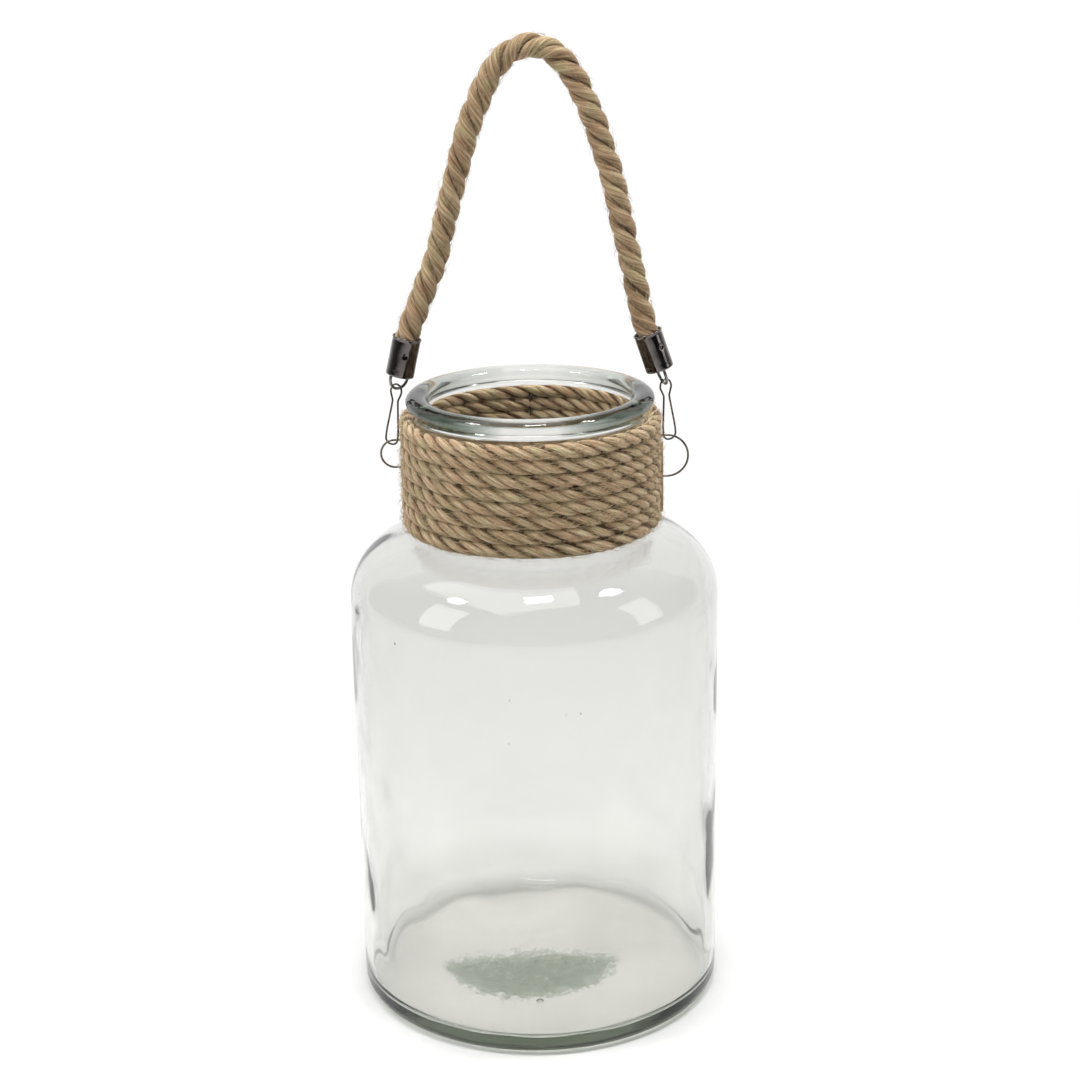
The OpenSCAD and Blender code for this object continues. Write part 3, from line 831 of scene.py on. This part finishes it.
def shoulder_and_neck(inset):
    """The curve from the body in over the shoulder and up to the neck, set in by a thickness."""
    lean = math.radians(SHOULDER_LEAN)
    middle = np.array([BODY_R - SHOULDER_R, SHOULDER_Z])
    top = middle + SHOULDER_R * np.array([math.cos(lean), math.sin(lean)])
    run = (top[0] + NECK_FILLET * math.cos(lean) - NECK_R - NECK_FILLET) / math.sin(lean)
    fillet = (top + run * np.array([-math.sin(lean), math.cos(lean)])
              + NECK_FILLET * np.array([math.cos(lean), math.sin(lean)]))
    over = arc(middle, SHOULDER_R - inset, 0, SHOULDER_LEAN, 18)
    into = arc(fillet, NECK_FILLET + inset, SHOULDER_LEAN + 180, 180, 10)
    return over + line(over[-1], into[0], 4)[1:] + into


def jar_profile():
    """The jar's outline as (radius, height, side): side is 1 outside, -1 inside and 0 on the rim."""
    join_out = math.degrees(math.acos(RIM_SET_IN / RIM_WIDE))
    join_in = 180 + math.degrees(math.acos((WALL - RIM_SET_IN) / RIM_WIDE))
    rim = [(NECK_R - RIM_SET_IN + RIM_WIDE * x, JAR_H - RIM_HIGH + RIM_HIGH * y)
           for x, y in arc((0, 0), 1, -join_out, join_in, 36)]
    hollow = [(r, HOLLOW_DEPTH * (0.5 + 0.5 * math.cos(math.pi * r / HOLLOW_R)))
              for r in np.linspace(0.01, HOLLOW_R, 24)]
    outer = hollow + line((HOLLOW_R, 0), (BODY_R - FOOT_R, 0), 14)[1:]
    outer += arc((BODY_R - FOOT_R, FOOT_R), FOOT_R, -90, 0, 12)
    outer += line((BODY_R, FOOT_R), (BODY_R, SHOULDER_Z), 26)[1:]
    outer += shoulder_and_neck(0)
    outer += line(outer[-1], rim[0], 12)[1:]
    inner = line(rim[-1], (NECK_R - WALL, shoulder_and_neck(WALL)[-1][1]), 12)[1:]
    inner += shoulder_and_neck(WALL)[::-1]
    inner += line((BODY_R - WALL, SHOULDER_Z), (BODY_R - WALL, BASE_T + 5), 26)[1:]
    inner += arc((BODY_R - WALL - 5, BASE_T + 5), 5, 0, -90, 8)
    inner += line((BODY_R - WALL - 5, BASE_T), (0.01, BASE_T + 1.5), 18)[1:]
    inner += [(0.01, BASE_T + 1.5)]
    return [(r, z, 1) for r, z in outer] + [(r, z, 0) for r, z in rim] + [(r, z, -1) for r, z in inner]


def clamped(value):
    return max(0.0, min(1.0, value))


def blown(radius, height, side, angle):
    """Moves a point of the jar as hand blowing does: slow swells in the wall and an uneven rim."""
    round_x, round_y = math.cos(angle), math.sin(angle)
    spot = Vector((round_x * 1.5, round_y * 1.5, height / 60))
    if side == 1:
        swell = 0.30 * noise.noise(spot + Vector((4, 0, 0)))
        body = clamped(height / 20) * clamped((236 - height) / 30)
        grown = radius + swell * body + 0.35 * body * round_x * math.exp(-((height - 214) / 22) ** 2)
        return grown, max(0.0, height)
    if side == 0:
        wave = 0.30 * noise.noise(Vector((round_x * 1.2, round_y * 1.2, 7)))
        return radius + 0.25 * noise.noise(Vector((round_x * 1.4, round_y * 1.4, 3))), height + wave
    body = clamped((height - BASE_T - 3) / 12) * clamped((285 - height) / 20)
    swell = 0.85 * noise.noise(spot * 1.3) + 0.35 * noise.noise(spot * 3.1 + Vector((0, 9, 0)))
    floor = 0.0
    if radius < BODY_R - WALL - 2 and height < BASE_T + 3:
        floor = 0.55 * noise.noise(Vector((radius * round_x / 24, radius * round_y / 24, 2)))
    return radius + swell * body, height + floor


def bubbles():
    """Air bubbles in the glass of the base and the wall: centre, half width and half height, in mm."""
    rng = random.Random(12)
    found = [((0.0, -44.0, 3.9), 1.7, 0.9)]
    for _ in range(16):
        turn, out = rng.uniform(0, TAU), rng.uniform(12, 74)
        size = rng.uniform(0.18, 0.5)
        found.append(((out * math.cos(turn), out * math.sin(turn), rng.uniform(2.6, 5.2)), size, size * 0.8))
    for _ in range(14):
        turn, height = rng.uniform(0, TAU), rng.uniform(30, 200)
        size = rng.uniform(0.15, 0.4)
        out = BODY_R - WALL / 2
        found.append(((out * math.cos(turn), out * math.sin(turn), height), size, size * 1.8))
    return found


def build_jar():
    profile = jar_profile()
    angles = np.arange(JAR_SIDES) * TAU / JAR_SIDES
    verts = []
    for radius, height, side in profile:
        for a in angles:
            r, z = blown(radius, height, side, a)
            verts.append((r * MM * math.cos(a), r * MM * math.sin(a), z * MM))
    faces = grid_faces(len(profile), JAR_SIDES) + end_caps(len(profile), JAR_SIDES)
    round_verts, round_faces = ball(3)
    for centre, wide, tall in bubbles():
        first = len(verts)
        for v in round_verts:
            verts.append(tuple((centre[k] + v[k] * (wide, wide, tall)[k]) * MM for k in range(3)))
        faces += [[first + i for i in reversed(face)] for face in round_faces]
    jar = mesh_piece("blown_jar", verts, faces, glass)
    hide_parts("glass_jar")
    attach(jar, "jar")


build_jar()

# ---------------------------------------------------------------- wires

LINK_TOP_Z = 304.3
LINK_FOOT_Z = 275.5
LINK_WIRE_R = 0.45


def link_outline():
    """One side of a link, from its foot up to its head: half width and height, in millimetres."""
    foot, waist, head = 4.0, 1.9, 3.6
    low, top = LINK_FOOT_Z, LINK_TOP_Z
    side = [
        (foot * 0.55, low + 0.35), (foot * 0.93, low + 1.7), (foot, low + 3.6), (foot * 0.93, low + 7.5),
        (foot * 0.7, low + 13.5), (waist, top - 9), (waist * 1.02, top - 7.5), (head * 0.86, top - 5),
        (head, top - 3.2), (head * 0.72, top - 0.9),
    ]
    return [(0, low)] + side + [(0, top)] + [(-w, z) for w, z in reversed(side)]


def build_link(name, node, body, hand, foot_x, top_x, turn):
    """A closed loop of bent wire that leans in from foot_x to top_x, its plane turned by turn degrees."""
    turn = math.radians(turn)
    lean = (top_x - foot_x) / (LINK_TOP_Z - LINK_FOOT_Z)
    keys = []
    for w, z in link_outline():
        x = hand * (foot_x + lean * (z - LINK_FOOT_Z) + w * math.cos(turn))
        keys.append((x * MM, w * math.sin(turn) * MM, z * MM))
    route = smooth_route(keys, 0.35 * MM, closed=True)
    normal = np.array([-hand * math.sin(turn), math.cos(turn), lean * math.sin(turn)])
    _, across, up = frames(route, unit(normal), closed=True)
    verts = tube_points(route, across, up, LINK_WIRE_R * MM, 16)
    link = mesh_piece(name, verts, grid_faces(len(route), 16, closed=True), link_steel)
    face_outwards(link)
    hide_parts(node)
    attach(link, body)


build_link("wire_link_left", "link_left", "left_link", -1, foot_x=65.6, top_x=62, turn=44)
build_link("wire_link_right", "link_right", "right_link", 1, foot_x=65.5, top_x=63.2, turn=42)

for node, material in (("ear_left", ear_steel), ("ear_right", ear_steel), ("neck_wire", band_steel),
                       ("eye_left", eye_steel), ("eye_right", eye_steel)):
    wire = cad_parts[node]
    wire.data.materials.clear()
    wire.data.materials.append(material)

# ---------------------------------------------------------------- rope caps

CAP_R = 6.6
CAP_L = 18.7
CAP_WALL = 0.8
CAP_EDGE_R = 0.7
CAP_SIDES = 120
LIP_OUT = 0.35
LIP_R = 0.36
DIMPLE_R = 1.7
DIMPLE_DEPTH = 0.75
DIMPLE_Z = CAP_L * 0.58
EYE_DROP = 2


def cap_profile():
    """A drawn cap from its closed end up to its rolled lip and down inside: radius and height, in mm."""
    lip = CAP_R + LIP_OUT
    outside = line((0.02, 0.12), (CAP_R - 0.9, 0), 6)
    outside += arc((CAP_R - CAP_EDGE_R, CAP_EDGE_R), CAP_EDGE_R, -90, 0, 6)
    outside += line((CAP_R, CAP_EDGE_R), (CAP_R, CAP_L - 1.3), 34)[1:]
    outside += [(CAP_R, CAP_L - 1.3), (CAP_R + 0.1, CAP_L - 0.95), (lip - 0.08, CAP_L - 0.6)]
    outside += arc((lip - LIP_R, CAP_L - LIP_R), LIP_R, 0, 180, 8)
    inside = line((CAP_R - CAP_WALL + 0.02, CAP_L - 1.2), (CAP_R - CAP_WALL, CAP_WALL + 0.3), 14)
    inside += [(CAP_R - CAP_WALL - 0.3, CAP_WALL), (0.02, CAP_WALL)]
    return outside + inside


def build_cap(name, node, hand, eye_x, lean, start, dimple_turn):
    """The crimped cap on one end of the rope."""
    lean = math.radians(lean)
    origin = np.array([hand * eye_x, 0, LINK_TOP_Z - EYE_DROP])
    up = np.array([-hand * math.sin(lean), 0, math.cos(lean)])
    out = np.array([hand * math.cos(lean), 0, math.sin(lean)])
    front = np.array([0, 1.0, 0])
    dimple = math.radians(dimple_turn)
    profile = cap_profile()
    verts = []
    for radius, height in profile:
        for k in range(CAP_SIDES):
            a = k * TAU / CAP_SIDES
            r = radius
            gap = (a - dimple + math.pi) % TAU - math.pi
            near = math.hypot(gap * CAP_R, height - DIMPLE_Z)
            if radius > CAP_R - 0.9 and 3 < height < CAP_L - 2:
                press = max(0.0, 1 - near / DIMPLE_R)
                r -= (DIMPLE_DEPTH * press * press * (3 - 2 * press)) * (1 if radius > CAP_R - 0.1 else 0.15)
                r += 0.05 * noise.noise(Vector((math.cos(a) * 2, math.sin(a) * 2, height / 6)))
            spot = origin + up * (start + height) + out * (r * math.cos(a)) + front * (r * math.sin(a))
            verts.append(spot * MM)
    faces = grid_faces(len(profile), CAP_SIDES) + end_caps(len(profile), CAP_SIDES)
    cap = mesh_piece(name, verts, faces, chrome)
    face_outwards(cap)
    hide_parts(node)
    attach(cap, "bail")


build_cap("rope_cap_left", "ferrule_left", -1, eye_x=62, lean=13, start=6.4, dimple_turn=-98)
build_cap("rope_cap_right", "ferrule_right", 1, eye_x=63.2, lean=18.5, start=7.4, dimple_turn=-50)

# ---------------------------------------------------------------- studio

# Just below the jar's base, so that the two faces don't lie in one plane.
FLOOR_Z = -0.15 * MM
FLOOR_FRONT = -2.6
FLOOR_BACK = 1.4
BACKDROP_BEND = 0.9
BACKDROP_TOP = 3.0
WINDOW_DISTANCE = 1.3


def build_floor():
    """A floor that curves up into a backdrop well behind the lantern."""
    bend = BACKDROP_BEND
    outline = [(y, FLOOR_Z) for y in np.linspace(FLOOR_FRONT, FLOOR_BACK, 9)]
    outline += [(FLOOR_BACK + bend * math.sin(a), FLOOR_Z + bend - bend * math.cos(a))
                for a in np.linspace(0, math.pi / 2, 13)[1:]]
    outline += [(FLOOR_BACK + bend, BACKDROP_TOP)]
    widths = np.linspace(-3.2, 3.2, 9)
    verts = [(x, y, z) for y, z in outline for x in widths]
    columns = len(widths)
    faces = [
        [i * columns + k, i * columns + k + 1, (i + 1) * columns + k + 1, (i + 1) * columns + k]
        for i in range(len(outline) - 1) for k in range(columns - 1)
    ]
    floor = mesh_piece("studio_floor", verts, faces, floor_material())


def area_light(name, place, aim, width, height, power):
    """A rectangular light at place that faces aim. power is in watts."""
    data = bpy.data.lights.new(name, "AREA")
    data.shape = "RECTANGLE"
    data.size = width
    data.size_y = height
    data.energy = power
    light = bpy.data.objects.new(name, data)
    light.location = place
    light.rotation_mode = "QUATERNION"
    light.rotation_quaternion = (Vector(aim) - Vector(place)).to_track_quat("-Z", "Y")
    bpy.context.scene.collection.objects.link(light)


def shoulder_window(name, angle, height, width, tall, power):
    """A small window light, placed where the camera sees it mirrored at one spot of the shoulder.
    angle and height give the spot: degrees round the shoulder from the front, and its height in mm."""
    up = math.asin((height - SHOULDER_Z) / SHOULDER_R)
    turn = math.radians(angle - 90)
    radius = (BODY_R - SHOULDER_R + SHOULDER_R * math.cos(up)) * MM
    spot = Vector((radius * math.cos(turn), radius * math.sin(turn), height * MM))
    normal = Vector((math.cos(up) * math.cos(turn), math.cos(up) * math.sin(turn), math.sin(up)))
    sight = (spot - camera_place).normalized()
    mirrored = sight - 2 * sight.dot(normal) * normal
    area_light(name, spot + mirrored * WINDOW_DISTANCE, spot, width, tall, power)


def build_world():
    """A surround that is pale behind the lantern and dark on the camera's side, so that glass and
    chrome show dark edges."""
    world = bpy.data.worlds.new("surround")
    world.use_nodes = True
    tree = world.node_tree
    back = tree.nodes["Background"]
    where = add(tree, "ShaderNodeTexCoord")
    split = tree.nodes.new("ShaderNodeSeparateXYZ")
    tree.links.new(where.outputs["Generated"], split.inputs[0])
    shades = ramp(tree, maths(tree, "MULTIPLY_ADD", split.outputs["Y"], 0.5, 0.5), [
        (0.14, (0.03, 0.035, 0.035)), (0.50, (0.22, 0.23, 0.23)), (0.72, (0.90, 0.90, 0.90)),
    ])
    tree.links.new(shades.outputs[0], back.inputs["Color"])
    back.inputs["Strength"].default_value = 0.6
    bpy.context.scene.world = world


build_world()
build_floor()
area_light("soft_top", (-0.3, -0.1, 2.1), (0, 0, 0.1), width=2.2, height=1.8, power=21)
area_light("soft_left", (-1.8, -0.9, 1.2), (0, 0, 0.25), width=0.9, height=1.4, power=9)
area_light("soft_right", (1.8, -0.5, 1.0), (0, 0, 0.25), width=0.7, height=1.3, power=5)
shoulder_window("window_left", -26, 222, width=0.20, tall=0.14, power=4)
shoulder_window("window_middle", 2, 224, width=0.26, tall=0.20, power=6)
shoulder_window("window_right", 26, 224, width=0.19, tall=0.18, power=4.5)
bpy.context.scene.view_settings.view_transform = "Standard"
